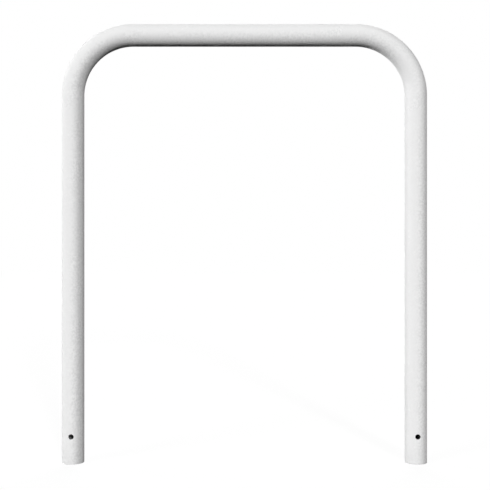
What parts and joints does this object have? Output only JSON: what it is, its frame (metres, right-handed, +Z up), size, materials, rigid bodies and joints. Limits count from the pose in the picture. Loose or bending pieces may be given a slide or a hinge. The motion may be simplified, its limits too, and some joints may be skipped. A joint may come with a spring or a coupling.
{
  "type": "hoop barrier",
  "caption": "Inverted-U hoop barrier of white-coated round steel tube, with swept corners and plain legs cross-drilled near the feet for setting in the ground.",
  "frame": {"origin": "on the plane of the leg ends, midway between the two legs, on the hoop's centre plane", "axes": "+Z up the legs, +X to the right along the top rail as seen from the front, +Y away from the front"},
  "size_m": [1, 0.0604, 1.2],
  "materials": {
    "white_coat": "matt white powder coat with a fine texture, over galvanised steel",
    "zinc": "dull galvanised steel"
  },
  "bodies": {
    "root": {"left_leg": "white_coat", "left_leg_weld": "white_coat", "left_bend": "white_coat", "left_rail_weld": "white_coat", "top_rail": "white_coat", "right_rail_weld": "white_coat", "right_bend": "white_coat", "right_leg_weld": "white_coat", "right_leg": "white_coat", "left_leg_ferrule": "zinc", "left_rail_ferrule": "zinc", "right_rail_ferrule": "zinc", "right_leg_ferrule": "zinc"}
  },
  "joints": []
}
